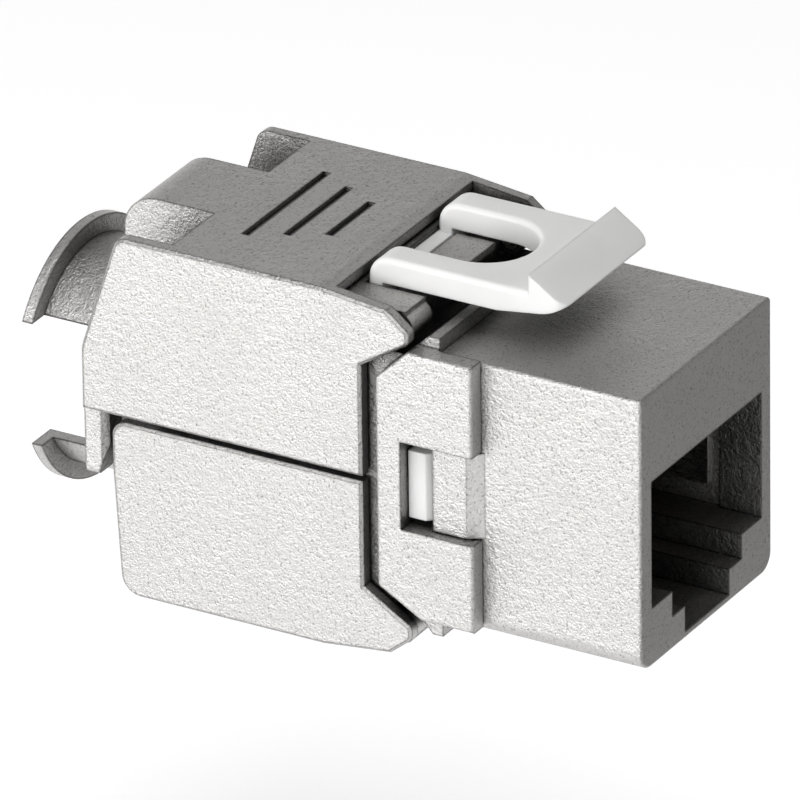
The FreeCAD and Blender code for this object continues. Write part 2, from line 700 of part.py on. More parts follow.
# ---- hinge pins: stubs from the frame's knuckles into the door ears ----
for side, sign in MIRROR.items():
    for hand, start in (("left", "-pin_outer"), ("right", "knuckle_inner")):
        pin = doc.addObject("Part::Cylinder", "%s_hinge_pin_%s" % (side, hand))
        pin.setExpression("Radius", bound("pin_radius"))
        pin.setExpression("Height", bound("pin_outer - knuckle_inner"))
        pin.Placement = FreeCAD.Placement(FreeCAD.Vector(), FreeCAD.Rotation(FreeCAD.Vector(0, 1, 0), 90))
        pin.setExpression("Placement.Base.x", bound(start))
        pin.setExpression("Placement.Base.y", bound("hinge_y" + ROW_CENTRE))
        pin.setExpression("Placement.Base.z", bound("%s + (%shinge_reach)" % (ROW_MIDDLE, sign)))
        NODES.append(pin)

# ---- panel latch: two sprung arms, catch ridge and the foot that seats in the frame ----
latch = new_body("latch")
add(latch, outline(latch, "latch_side", "YZ", [
    ("latch_front", "latch_top + ridge_rise"), ("ridge_y", "latch_top + ridge_rise"),
    ("ridge_y", "latch_top"), ("latch_rear", "latch_top"), ("latch_rear", "leg_foot"),
    ("leg_front", "leg_foot"), ("leg_front", "latch_underside"),
    ("latch_front + chin_run", "latch_underside"),
    ("chin_y", "latch_underside + chin_rise"),
    ("latch_front", "latch_top - tip_drop")]), "latch_width", both=True)
dress(latch, "Fillet", "latch_chin", "chin_round",
      lambda edge, box: runs(edge, "x") and at(edge.BoundBox.YMax, value("chin_y")))
dress(latch, "Fillet", "latch_rear_bend", "latch_bend", lambda edge, box: runs(edge, "x") and at(
    edge.BoundBox.YMax, box.YMax) and edge.BoundBox.ZMax > box.ZMin + 1)
dress(latch, "Fillet", "latch_corners", "latch_corner", lambda edge, box: runs(edge, "z") and at(
    edge.BoundBox.YMax, box.YMin))
cut(latch, outline(latch, "catch_slope", "YZ", [
    ("latch_front - 1", "tip_level"), ("latch_front", "tip_level"),
    ("ridge_y", "latch_top + ridge_rise"), ("ridge_y", "latch_top + ridge_rise + 1"),
    ("latch_front - 1", "latch_top + ridge_rise + 1")]), "latch_width + 1", both=True)
add(latch, disc(latch, "latch_foot", "YZ", "latch_rear - leg_thickness / 2", "leg_foot", "foot_radius"),
    "latch_width", both=True)
cut(latch, outline(latch, "finger_gap", "XY", box_loop(
    "-window_width / 2", "window_width / 2", "window_front + window_width / 2", "latch_rear + 1"),
    "latch_top + 1"), "latch_top + 1 - bridge_height")
cut(latch, disc(latch, "finger_gap_end", "XY", "0", "window_front + window_width / 2",
                "window_width / 2", "latch_top + 1"), "latch_top + 1 - bridge_height")
dress(latch, "Fillet", "latch_edges", "latch_edge", lambda edge, box: at(
    edge.BoundBox.ZMin, value("latch_top")) and at(edge.BoundBox.ZMax, value("latch_top")) and not runs(edge, "x"))

# ---- port contacts in their comb carrier ----
carrier = new_body("contact_carrier")
add(carrier, outline(carrier, "carrier_side", "YZ", [
    ("bay_front + carrier_play", "port_roof + carrier_play"),
    ("bay_front + carrier_play", "bay_roof - carrier_play"),
    ("housing_length", "bay_roof - carrier_play"), ("housing_length", "carrier_floor"),
    ("housing_length - carrier_wall", "carrier_floor"),
    ("housing_length - carrier_wall", "port_roof + carrier_play")]),
    "bay_width - carrier_play * 2", both=True)
comb = cut(carrier, outline(carrier, "comb_slot", "XZ", box_loop(
    "-contact_pitch * 3.5 - comb_width / 2", "-contact_pitch * 3.5 + comb_width / 2",
    "port_roof - 0.8", "comb_roof"), "0"))
row_of(carrier, comb, 8, "contact_pitch")


def port_contact(number):
    """One sprung wire: along the comb, round its nose and back into the port."""
    body = new_body("contact_%d" % number)
    across = "contact_pitch * %.1f" % (number - 4.5)
    path = new_sketch(body, "contact_path_%d" % number, "YZ", across)
    bend, level = value("contact_bend"), value("contact_level")
    centre = FreeCAD.Vector(value("contact_front") + bend, level - bend, 0)
    tip = FreeCAD.Vector(value("tip_y"), value("tip_z"), 0)
    reach = tip.distanceToPoint(centre)
    turn = math.atan2(tip.y - centre.y, tip.x - centre.x) - math.acos(bend / reach)
    touch = centre + FreeCAD.Vector(bend * math.cos(turn), bend * math.sin(turn), 0)
    root = FreeCAD.Vector(value("board_front"), level, 0)
    crown = FreeCAD.Vector(centre.x, level, 0)
    path.addGeometry(Part.LineSegment(root, crown), False)
    nose = Part.Circle(centre, FreeCAD.Vector(0, 0, 1), bend)
    path.addGeometry(Part.ArcOfCircle(nose, math.pi / 2, 2 * math.pi + turn), False)
    path.addGeometry(Part.LineSegment(touch, tip), False)
    path.addConstraint(Sketcher.Constraint("Tangent", 0, 2, 1, 1))
    path.addConstraint(Sketcher.Constraint("Tangent", 1, 2, 2, 1))
    path.addConstraint(Sketcher.Constraint("Horizontal", 0))
    pin_point(path, 0, 1, "board_front", "contact_level")
    pin_point(path, 2, 2, "tip_y", "tip_z")
    row = path.addConstraint(Sketcher.Constraint("Radius", 1, bend))
    path.setExpression("Constraints[%d]" % row, bound("contact_bend"))
    row = path.addConstraint(Sketcher.Constraint("DistanceX", -1, 1, 1, 3, centre.x))
    path.setExpression("Constraints[%d]" % row, bound("contact_front + contact_bend"))
    section = outline(body, "contact_section_%d" % number, "XZ", box_loop(
        across + " - contact_width / 2", across + " + contact_width / 2",
        "contact_level - contact_thickness / 2", "contact_level + contact_thickness / 2"), "board_front")
    doc.recompute()
    wire = body.newObject("PartDesign::AdditivePipe", "contact_wire_%d" % number)
    wire.Profile = section
    wire.Spine = (path, ["Edge1", "Edge2", "Edge3"])
    doc.recompute()


for number in range(1, 9):
    port_contact(number)

# ---- shield springs against the port's side walls ----
spring = new_body("shield_spring_right")
bowed = [("spring_front", "0"), ("spring_front + spring_length * 0.18", "0"),
         ("spring_front + spring_length / 2", "spring_bow"),
         ("spring_front + spring_length * 0.82", "0"), ("spring_front + spring_length", "0")]
add(spring, outline(spring, "spring_leaf", "XY",
                    [("spring_face - " + lift, along) for along, lift in bowed] +
                    [("spring_face - %s - spring_thickness" % lift, along) for along, lift in reversed(bowed)],
                    "spring_base"), "spring_height")
mirror_node("shield_spring_left", spring, FreeCAD.Vector(1, 0, 0))

# ---- circuit board, terminal core and terminal blocks ----
board = new_body("circuit_board")
add(board, outline(board, "board_face", "XZ", box_loop(
    "-board_width / 2", "board_width / 2", "-board_height / 2", "board_height / 2"), "board_front"),
    "board_thickness", back=True)

core = new_body("terminal_core")
add(core, outline(core, "core_section", "XZ", box_loop(
    "-block_width / 2", "block_width / 2", "-core_height / 2", "core_height / 2"), "block_front"),
    "block_rear - block_front", back=True)
lug = add(core, outline(core, "snap_lug", "XY", [
    ("lug_inner", "block_front + lug_bevel"), ("lug_inner", "tail + lug_lead"),
    ("lug_outer - lug_bevel", "tail + lug_lead"), ("lug_outer", "tail + lug_lead + lug_bevel"),
    ("lug_outer", "notch_rear - lug_play"), ("block_width / 2", "notch_rear - lug_play"),
    ("block_width / 2", "block_front + lug_bevel")]), "core_height", both=True)
mirrored(core, lug)

block = new_body("upper_terminal_block")
add(block, outline(block, "block_section", "XZ", box_loop(
    "-block_width / 2", "block_width / 2", "block_base", "block_top"), "block_front"),
    "block_rear - block_front", back=True)
channel = cut(block, outline(block, "wire_channel", "XZ", box_loop(
    "-wire_pitch * 1.5 - channel_width / 2", "-wire_pitch * 1.5 + channel_width / 2",
    "block_top - channel_depth", "block_top + 1"), "channel_front"))
row_of(block, channel, 4, "wire_pitch")
blade_spots = [("wire_pitch * %.1f" % (n - 1.5), "blade_row + blade_row_step * %d" % (n % 2)) for n in range(4)]
cut(block, outline(block, "blade_wells", "XY", [box_loop(
    x + " - well_half", x + " + well_half", y + " - well_run", y + " + well_run")
    for x, y in blade_spots], "block_top + 1"))
cut(block, outline(block, "tail_grooves", "XY", [box_loop(
    x + " - tail_half - blade_play", x + " + tail_half + blade_play", "block_front - 1", y)
    for x, y in blade_spots], "blade_base + blade_thickness + blade_play"))
mirror_node("lower_terminal_block", block, FreeCAD.Vector(0, 0, 1))

for n, (x, y) in enumerate(blade_spots, start=1):
    blade = new_body("upper_blade_%d" % n)
    half_fork = [("blade_width / 2", "blade_base"), ("blade_width / 2", "blade_top"),
                 ("blade_mouth / 2", "blade_top"), ("blade_slot / 2", "blade_top - blade_mouth"),
                 ("blade_slot / 2", "blade_top - blade_slot_depth")]
    fork = [(x + " + " + u, v) for u, v in half_fork] + [(x + " - " + u, v) for u, v in reversed(half_fork)]
    add(blade, outline(blade, "fork_%d" % n, "XZ", fork, y + " - blade_thickness / 2"),
        "blade_thickness", back=True)
    add(blade, outline(blade, "tail_%d" % n, "XY", box_loop(
        x + " - tail_half", x + " + tail_half", "board_front + board_thickness", y), "blade_base"),
        "blade_thickness")
    mirror_node("lower_blade_%d" % n, blade, FreeCAD.Vector(0, 0, 1))

# ---- wire pressers in the doors and the pair guide behind the terminals ----
presser = new_body("upper_wire_presser")
add(presser, outline(presser, "presser_pad", "XZ", box_loop(
    "-presser_half", "presser_half", "presser_face", "roof_inner"), "presser_front"),
    "presser_rear - presser_front", back=True)
rib = add(presser, outline(presser, "presser_rib_end", "XZ", box_loop(
    "-wire_pitch * 1.5 - presser_rib / 2", "-wire_pitch * 1.5 + presser_rib / 2",
    "presser_face - presser_rib_depth", "presser_face + 0.3"), "presser_front + presser_rib_inset"),
    "presser_rear - presser_front - presser_rib_inset * 2", back=True)
row_of(presser, rib, 4, "wire_pitch")
cut(presser, outline(presser, "blade_relief", "XY", [box_loop(
    "-presser_half", "presser_half",
    "blade_row + blade_row_step * %d - presser_relief / 2" % n,
    "blade_row + blade_row_step * %d + presser_relief / 2" % n) for n in range(2)], "presser_face"))
mirror_node("lower_wire_presser", presser, FreeCAD.Vector(0, 0, 1))

guide = new_body("pair_guide")
add(guide, outline(guide, "guide_plate", "XZ", box_loop(
    "-guide_half", "guide_half", "-guide_rise", "guide_rise"), "block_rear"), "guide_thickness", back=True)
for hand, side in ((1, 1), (1, -1), (-1, 1), (-1, -1)):
    hole = disc(guide, "pair_hole_%d%d" % (hand + 1, side + 1), "XZ", "guide_hole_x * %d" % hand,
                "guide_hole_z * %d" % side, "guide_hole", "block_rear")
    cut(guide, hole)
add(guide, outline(guide, "guide_cross_level", "XZ", box_loop(
    "-guide_half + guide_cross_inset", "guide_half - guide_cross_inset",
    "-guide_cross / 2", "guide_cross / 2"), "guide_rear"), "guide_cross_length", back=True)
add(guide, outline(guide, "guide_cross_upright", "XZ", box_loop(
    "-guide_cross / 2", "guide_cross / 2", "-guide_rise + 0.5", "guide_rise - 0.5"), "guide_rear"),
    "guide_cross_length", back=True)

doc.recompute()
for feature in doc.Objects:
    if "Invalid" in feature.State or "Error" in feature.State:
        raise RuntimeError("%s did not rebuild: %s" % (feature.Label, feature.State))
os.makedirs("parts", exist_ok=True)
for node in NODES:
    if not node.Shape.isValid() or len(node.Shape.Solids) != 1:
        raise RuntimeError("%s is not one valid solid" % node.Label)
    node.Shape.exportStep("parts/%s.step" % node.Label)
print("%d pieces written" % len(NODES))
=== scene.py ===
import bpy
import json
import math
from mathutils import Matrix, Vector


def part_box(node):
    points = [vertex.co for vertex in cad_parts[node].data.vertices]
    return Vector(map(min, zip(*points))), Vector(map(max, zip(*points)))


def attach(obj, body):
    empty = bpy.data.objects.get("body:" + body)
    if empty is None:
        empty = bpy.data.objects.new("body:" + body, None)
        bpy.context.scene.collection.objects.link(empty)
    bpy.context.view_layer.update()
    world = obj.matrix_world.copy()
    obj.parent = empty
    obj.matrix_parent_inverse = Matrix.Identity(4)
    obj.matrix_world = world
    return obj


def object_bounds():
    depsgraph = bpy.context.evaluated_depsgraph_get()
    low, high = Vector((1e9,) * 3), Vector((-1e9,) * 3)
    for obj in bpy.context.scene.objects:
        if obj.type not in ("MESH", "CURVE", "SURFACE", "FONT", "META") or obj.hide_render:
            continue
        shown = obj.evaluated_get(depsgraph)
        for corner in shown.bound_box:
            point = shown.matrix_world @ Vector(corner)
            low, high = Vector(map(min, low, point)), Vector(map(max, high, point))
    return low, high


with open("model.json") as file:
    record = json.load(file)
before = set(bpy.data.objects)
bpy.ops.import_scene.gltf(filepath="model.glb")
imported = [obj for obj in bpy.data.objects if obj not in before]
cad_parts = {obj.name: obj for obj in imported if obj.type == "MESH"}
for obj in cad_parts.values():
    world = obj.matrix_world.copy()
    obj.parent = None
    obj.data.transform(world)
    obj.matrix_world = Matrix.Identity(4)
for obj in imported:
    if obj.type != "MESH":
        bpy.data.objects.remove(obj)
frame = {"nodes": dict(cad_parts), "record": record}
cadBox = [list(corner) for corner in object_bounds()]  # the CAD box, before anything is added
nodes = frame["nodes"]
print("frame loaded:", len(nodes), "nodes")


def lowest(node, axis):
    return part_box(node)[0]["xyz".index(axis)]


def highest(node, axis):
    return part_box(node)[1]["xyz".index(axis)]


def centre(node, axis):
    return (lowest(node, axis) + highest(node, axis)) / 2


def newMaterial(name):
    material = bpy.data.materials.new(name)
    material.use_nodes = True
    tree = material.node_tree
    shader = next(n for n in tree.nodes if n.type == "BSDF_PRINCIPLED")
    return material, tree, shader


def addNode(tree, kind, values=None, **settings):
    node = tree.nodes.new(kind)
    for key, value in settings.items():
        setattr(node, key, value)
    for key, value in (values or {}).items():
        node.inputs[key].default_value = value
    return node


def link(tree, source, output, target, socket):
    tree.links.new(source.outputs[output], target.inputs[socket])


def objectPlace(tree, stretch=(1.0, 1.0, 1.0)):
    place = addNode(tree, "ShaderNodeTexCoord")
    mapping = addNode(tree, "ShaderNodeMapping", {"Scale": stretch})
    link(tree, place, "Object", mapping, "Vector")
    return mapping


def noise(tree, place, grainSize, detail=2.0, roughness=0.5):
    # grainSize is the width of one grain in metres
    node = addNode(tree, "ShaderNodeTexNoise", {
        "Scale": 1.0 / grainSize, "Detail": detail, "Roughness": roughness})
    link(tree, place, "Vector", node, "Vector")
    return node


def ramp(tree, source, output, stops, mode="LINEAR"):
    node = addNode(tree, "ShaderNodeValToRGB")
    node.color_ramp.interpolation = mode
    elements = node.color_ramp.elements
    while len(elements) < len(stops):
        elements.new(0.5)
    for element, (position, level) in zip(elements, stops):
        element.position = position
        element.color = (level, level, level, 1.0) if isinstance(level, float) else (*level, 1.0)
    link(tree, source, output, node, "Fac")
    return node


def bump(tree, source, output, depth, strength=1.0, under=None):
    node = addNode(tree, "ShaderNodeBump", {"Strength": strength, "Distance": depth})
    link(tree, source, output, node, "Height")
    if under:
        link(tree, under, "Normal", node, "Normal")
    return node


def roundedEdge(tree, radius):
    return addNode(tree, "ShaderNodeBevel", {"Radius": radius}, samples=4)


def spreadRoughness(tree, grain, shader, low, high):
    shine = addNode(tree, "ShaderNodeMapRange", {
        "From Min": 0.3, "From Max": 0.7, "To Min": low, "To Max": high})
    link(tree, grain, "Fac", shine, "Value")
    link(tree, shine, "Result", shader, "Roughness")


castingLook = {
    "baseLight": (0.56, 0.55, 0.54),
    "baseDark": (0.28, 0.275, 0.27),
    "roughnessLow": 0.34,
    "roughnessHigh": 0.50,
    "fineGrain": 0.00014,     # metres
    "coarseGrain": 0.00045,
    "cloudSize": 0.004,       # patches of duller and brighter plating
    "pitFrom": 0.32,          # grain height that is a dark pit
    "pitTo": 0.44,            # and that is clear of one
    "fineDepth": 0.00006,
    "coarseDepth": 0.00006,
    "edgeRadius": 0.00016,
    "recessShadeReach": 0.008,     # how deep a hollow has to be to be darkened with painted shade
    "recessShadeFrom": 0.25,
    "recessShadeTo": 0.58,
    "recessShadeTone": 0.16,
    "portSize": (0.01226, 0.01024, 0.0108),  # a box round the plug port's walls
    "portStart": 0.00008,     # how far it begins behind the housing's front face
    "portSill": 0.0004,       # and above the housing's base
    # painted shade: how dark the plug port's walls are made
    "paintedPortShade": 0.50,
    "paintedRimWidth": 0.00020,      # width of the painted dark line along every edge, standing in for dark reflections on rounded edges and shade in creases
    "paintedRimFrom": 0.90,
    "paintedRimTo": 0.99,
    "paintedRimTone": 0.09,
}


# painted shade: the walls inside the plug port are darkened, standing in for the shade that falls inside the
# port
def paintedPortShade(tree, place, look):
    # the plating inside the plug port is dull and dark
    width, depth, height = look["portSize"]
    portMiddle = (
        centre("front_housing", "x"),
        lowest("front_housing", "y") + look["portStart"] + depth / 2,
        lowest("front_housing", "z") + look["portSill"] + height / 2,
    )
    axes = addNode(tree, "ShaderNodeSeparateXYZ")
    link(tree, place, "Vector", axes, "Vector")
    inside = None
    for axis, middle, size in zip("XYZ", portMiddle, (width, depth, height)):
        near = addNode(tree, "ShaderNodeMath", {1: middle, 2: size / 2}, operation="COMPARE")
        link(tree, axes, axis, near, 0)
        if inside:
            both = addNode(tree, "ShaderNodeMath", operation="MULTIPLY")
            link(tree, inside, "Value", both, 0)
            link(tree, near, "Value", both, 1)
            inside = both
        else:
            inside = near
    tone = addNode(tree, "ShaderNodeMath", {1: look["paintedPortShade"] - 1.0, 2: 1.0}, operation="MULTIPLY_ADD")
    link(tree, inside, "Value", tone, 0)
    return tone


def platedZinc(name, look):
    material, tree, shader = newMaterial(name)
    place = objectPlace(tree)
    fine = noise(tree, place, look["fineGrain"], 3.0, 0.6)
    coarse = noise(tree, place, look["coarseGrain"], 2.0, 0.5)
    cloud = noise(tree, place, look["cloudSize"], 3.0, 0.55)
    tone = ramp(tree, fine, "Fac", [(look["pitFrom"], look["baseDark"]), (look["pitTo"], look["baseLight"])])
    # painted shade: ambient occlusion darkens the colour in hollows and under overhanging parts
    hollow = addNode(tree, "ShaderNodeAmbientOcclusion", {"Distance": look["recessShadeReach"]}, samples=4)
    paintedRecessShade = ramp(tree, hollow, "AO", [(look["recessShadeFrom"], look["recessShadeTone"]), (look["recessShadeTo"], 1.0)])
    # painted dark reflection and crease shade: a dark line along every edge, where the bevelled normal turns
    # away from the face
    corner = roundedEdge(tree, look["paintedRimWidth"])
    surface = addNode(tree, "ShaderNodeNewGeometry")
    turn = addNode(tree, "ShaderNodeVectorMath", operation="DOT_PRODUCT")
    link(tree, corner, "Normal", turn, 0)
    link(tree, surface, "Normal", turn, 1)
    paintedRim = ramp(tree, turn, "Value", [(look["paintedRimFrom"], look["paintedRimTone"]), (look["paintedRimTo"], 1.0)])
    # the painted recess shade, the painted edge line and the painted port shade together darken the grain's
    # colour
    paintedRecessAndRim = addNode(tree, "ShaderNodeMath", operation="MULTIPLY")
    link(tree, paintedRecessShade, "Color", paintedRecessAndRim, 0)
    link(tree, paintedRim, "Color", paintedRecessAndRim, 1)
    shade = addNode(tree, "ShaderNodeMath", operation="MULTIPLY")
    link(tree, paintedRecessAndRim, "Value", shade, 0)
    link(tree, paintedPortShade(tree, place, look), "Value", shade, 1)
    dim = addNode(tree, "ShaderNodeVectorMath", operation="SCALE")
    link(tree, tone, "Color", dim, 0)
    link(tree, shade, "Value", dim, "Scale")
    link(tree, dim, "Vector", shader, "Base Color")
    spreadRoughness(tree, cloud, shader, look["roughnessLow"], look["roughnessHigh"])
    edge = roundedEdge(tree, look["edgeRadius"])
    wavy = bump(tree, coarse, "Fac", look["coarseDepth"], 1.0, edge)
    grainy = bump(tree, fine, "Fac", look["fineDepth"], 1.0, wavy)
    link(tree, grainy, "Normal", shader, "Normal")
    shader.inputs["Metallic"].default_value = 1.0
    return material


plasticLook = {
    "white": (0.80, 0.80, 0.79),
    "black": (0.018, 0.018, 0.02),
    "grain": 0.00025,
    "grainDepth": 0.000004,
    "flowSize": 0.006,        # faint marks where the melt ran together
    "flowTone": 0.93,
    "edgeRadius": 0.00015,
    "glowReach": (0.0012, 0.0011, 0.001),
}


def mouldedPlastic(name, colour, roughness, look, glow=0.0):
    material, tree, shader = newMaterial(name)
    place = objectPlace(tree)
    skin = noise(tree, place, look["grain"], 2.0)
    flow = noise(tree, place, look["flowSize"], 2.0)
    darker = tuple(c * look["flowTone"] for c in colour)
    tone = ramp(tree, flow, "Fac", [(0.35, darker), (0.65, colour)])
    link(tree, tone, "Color", shader, "Base Color")
    spreadRoughness(tree, skin, shader, roughness - 0.05, roughness + 0.06)
    edge = roundedEdge(tree, look["edgeRadius"])
    link(tree, bump(tree, skin, "Fac", look["grainDepth"], 1.0, edge), "Normal", shader, "Normal")
    if glow:
        shader.inputs["Subsurface Weight"].default_value = glow
        shader.inputs["Subsurface Radius"].default_value = look["glowReach"]
        shader.inputs["Subsurface Scale"].default_value = 1.0
    return material


drawnLook = {
    "gold": (0.85, 0.60, 0.22),
    "tin": (0.62, 0.60, 0.56),
    "steel": (0.55, 0.55, 0.54),
    "streakWidth": 0.00008,
    "streakStretch": 0.12,    # share of the scale along the wire
    "streakTone": 0.8,
    "streakDepth": 0.000002,
}


def drawnMetal(name, colour, roughness, look):
    material, tree, shader = newMaterial(name)
    place = objectPlace(tree, (1.0, look["streakStretch"], 1.0))
    lines = noise(tree, place, look["streakWidth"], 2.0)
    darker = tuple(c * look["streakTone"] for c in colour)
    tone = ramp(tree, lines, "Fac", [(0.3, darker), (0.7, colour)])
    link(tree, tone, "Color", shader, "Base Color")
    spreadRoughness(tree, lines, shader, roughness * 0.8, roughness * 1.3)
    link(tree, bump(tree, lines, "Fac", look["streakDepth"]), "Normal", shader, "Normal")
    shader.inputs["Metallic"].default_value = 1.0
    return material


boardLook = {
    "deepGreen": (0.015, 0.11, 0.05),
    "green": (0.02, 0.15, 0.07),
    "weaveSize": 0.0003,
    "weaveDepth": 0.000003,
    "roughness": 0.35,
}


def boardLacquer(name, look):
    material, tree, shader = newMaterial(name)
    place = objectPlace(tree)
    weave = noise(tree, place, look["weaveSize"], 2.0)
    tone = ramp(tree, weave, "Fac", [(0.35, look["deepGreen"]), (0.65, look["green"])])
    link(tree, tone, "Color", shader, "Base Color")
    link(tree, bump(tree, weave, "Fac", look["weaveDepth"]), "Normal", shader, "Normal")
    shader.inputs["Roughness"].default_value = look["roughness"]
    return material


castZinc = platedZinc("platedZincCasting", castingLook)
whitePlastic = mouldedPlastic("whiteMouldedPlastic", plasticLook["white"], 0.38, plasticLook, 0.25)
blackPlastic = mouldedPlastic("blackMouldedPlastic", plasticLook["black"], 0.42, plasticLook)
goldWire = drawnMetal("goldPlatedWire", drawnLook["gold"], 0.22, drawnLook)
tinnedBlade = drawnMetal("tinnedBlade", drawnLook["tin"], 0.3, drawnLook)
pinSteel = drawnMetal("pinSteel", drawnLook["steel"], 0.28, drawnLook)
boardGreen = boardLacquer("boardLacquer", boardLook)

slotMaterials = {
    "plated_zinc": castZinc, "steel_pin": pinSteel, "spring_metal": pinSteel, "white_plastic": whitePlastic,
    "black_plastic": blackPlastic, "board": boardGreen, "gold_contact": goldWire, "blade_metal": tinnedBlade,
}
for part in frame["record"]["subparts"]:
    mesh = nodes[part["node"]].data
    mesh.materials.clear()
    mesh.materials.append(slotMaterials[part["material_slot"]])
print("materials assigned")


def startTree(name, sizes):
    # an empty tree whose inputs are named after the sizes
    tree = bpy.data.node_groups.new(name, "GeometryNodeTree")
    tree.interface.new_socket(name="Geometry", in_out="OUTPUT", socket_type="NodeSocketGeometry")
    for key, value in sizes.items():
        kind = "NodeSocketInt" if isinstance(value, int) else "NodeSocketFloat"
        tree.interface.new_socket(name=key, in_out="INPUT", socket_type=kind).default_value = value
    return tree, tree.nodes.new("NodeGroupInput")


def axisVector(tree, given, **keys):
    # a vector whose x, y or z comes from a named input
    node = addNode(tree, "ShaderNodeCombineXYZ")
    for axis, key in keys.items():
        link(tree, given, key, node, axis.upper())
    return node


def pointLine(tree, given, count, start, step):
    line = addNode(tree, "GeometryNodeMeshLine", mode="OFFSET", count_mode="TOTAL")
    link(tree, given, count, line, "Count")
    link(tree, start, "Vector", line, "Start Location")
    link(tree, step, "Vector", line, "Offset")
    return line


def copiesOn(tree, points, output, piece, pieceOutput, turn=(0.0, 0.0, 0.0)):
    copies = addNode(tree, "GeometryNodeInstanceOnPoints", {"Rotation": turn})
    link(tree, points, output, copies, "Points")
    link(tree, piece, pieceOutput, copies, "Instance")
    return copies


def finishTree(tree, source, material):
    real = addNode(tree, "GeometryNodeRealizeInstances")
    painted = addNode(tree, "GeometryNodeSetMaterial", {"Material": material})
    link(tree, source, "Instances", real, "Geometry")
    link(tree, real, "Geometry", painted, "Geometry")
    link(tree, painted, "Geometry", tree.nodes.new("NodeGroupOutput"), "Geometry")


def growPiece(name, tree, sizes, body):
    # runs the tree once and keeps its result as a plain mesh
    piece = bpy.data.objects.new(name, bpy.data.meshes.new(name))
    bpy.context.scene.collection.objects.link(piece)
    grower = piece.modifiers.new(name, "NODES")
    grower.node_group = tree
    for item in tree.interface.items_tree:
        if item.in_out == "INPUT":
            grower[item.identifier] = sizes[item.name]
    bpy.context.view_layer.update()
    depsgraph = bpy.context.evaluated_depsgraph_get()
    grown = bpy.data.meshes.new_from_object(piece.evaluated_get(depsgraph), depsgraph=depsgraph)
    grown.name = name
    piece.modifiers.remove(grower)
    piece.data = grown
    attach(piece, body)
    return piece


terminals = {                # metres
    "bladeThickness": 0.0004,
    "channelDepth": 0.0016,
    "presserRib": 0.00085,   # how far a presser's ribs stand off its pad
}

# the blades stand in two rows, and their places give the channels' places
bladeRow, nextRow = (highest(f"upper_blade_{n}", "y") - terminals["bladeThickness"] / 2 for n in (1, 2))
channelPitch = centre("upper_blade_2", "x") - centre("upper_blade_1", "x")
lowerFloor = lowest("lower_terminal_block", "z") + terminals["channelDepth"]
upperFloor = highest("upper_terminal_block", "z") - terminals["channelDepth"]
bladeEvery = 4               # every fourth ridge would fall on a row of blades
toothPitch = (nextRow - bladeRow) / bladeEvery

gripTeeth = {                # metres
    "toothCount": 11,
    "firstTooth": bladeRow - (bladeEvery - 1) * toothPitch,
    "toothPitch": toothPitch,
    "toothHeight": 0.00028,
    "toothLength": 0.0013,   # the channel's width
    "channelCount": 4,
    "firstChannel": centre("upper_blade_1", "x"),
    "channelPitch": channelPitch,
    "blockCount": 2,
    "lowerFloor": lowerFloor,
    "floorSpan": upperFloor - lowerFloor,
}


def gripTeethTree(sizes, material):
    # ridges across every wire channel, left out at the two rows of blades
    tree, given = startTree("wireGripTeeth", sizes)
    run = pointLine(tree, given, "toothCount", axisVector(tree, given, y="firstTooth"),
                    axisVector(tree, given, y="toothPitch"))
    order = addNode(tree, "GeometryNodeInputIndex")
    turn = addNode(tree, "ShaderNodeMath", {1: float(bladeEvery)}, operation="MODULO")
    link(tree, order, "Index", turn, 0)
    # only the last ridge of each four is over this
    blade = addNode(tree, "ShaderNodeMath", {1: bladeEvery - 1.5}, operation="GREATER_THAN")
    link(tree, turn, "Value", blade, 0)
    kept = addNode(tree, "GeometryNodeDeleteGeometry", domain="POINT")
    link(tree, run, "Mesh", kept, "Geometry")
    link(tree, blade, "Value", kept, "Selection")
    ridge = addNode(tree, "GeometryNodeMeshCylinder", {"Vertices": 4}, fill_type="NGON")
    link(tree, given, "toothHeight", ridge, "Radius")
    link(tree, given, "toothLength", ridge, "Depth")
    row = copiesOn(tree, kept, "Geometry", ridge, "Mesh", (0.0, math.pi / 2, 0.0))
    across = pointLine(tree, given, "channelCount", axisVector(tree, given, x="firstChannel"),
                       axisVector(tree, given, x="channelPitch"))
    rows = copiesOn(tree, across, "Mesh", row, "Instances")
    floors = pointLine(tree, given, "blockCount", axisVector(tree, given, z="lowerFloor"),
                       axisVector(tree, given, z="floorSpan"))
    finishTree(tree, copiesOn(tree, floors, "Mesh", rows, "Instances"), material)
    return tree


growPiece("wire_grip_teeth", gripTeethTree(gripTeeth, whitePlastic), gripTeeth, "body")

ejectorMarks = {             # metres
    "markRadius": 0.0006,
    "markHeight": 0.0001,    # half of it stands proud of the pad
    "columnCount": 3,
    "firstColumn": centre("upper_blade_1", "x") + channelPitch / 2,
    "columnPitch": channelPitch,
    "rowCount": 3,
    "firstRow": bladeRow - (nextRow - bladeRow) / 2,
    "rowPitch": nextRow - bladeRow,
    "padFace": lowest("upper_wire_presser", "z") + terminals["presserRib"],
}


def ejectorTree(sizes, material):
    # round ejector marks on a wire presser's pad, between its ribs and clear of the blades' rows
    tree, given = startTree("ejectorMarks", sizes)
    disc = addNode(tree, "GeometryNodeMeshCylinder", {"Vertices": 24}, fill_type="NGON")
    link(tree, given, "markRadius", disc, "Radius")
    link(tree, given, "markHeight", disc, "Depth")
    across = pointLine(tree, given, "columnCount", axisVector(tree, given, x="firstColumn"),
                       axisVector(tree, given, x="columnPitch"))
    row = copiesOn(tree, across, "Mesh", disc, "Mesh")
    along = pointLine(tree, given, "rowCount", axisVector(tree, given, y="firstRow", z="padFace"),
                      axisVector(tree, given, y="rowPitch"))
    finishTree(tree, copiesOn(tree, along, "Mesh", row, "Instances"), material)
    return tree


markTree = ejectorTree(ejectorMarks, whitePlastic)
growPiece("upper_ejector_marks", markTree, ejectorMarks, "upper_door")
lowerMarks = dict(ejectorMarks, padFace=highest("lower_wire_presser", "z") - terminals["presserRib"])
growPiece("lower_ejector_marks", markTree, lowerMarks, "lower_door")


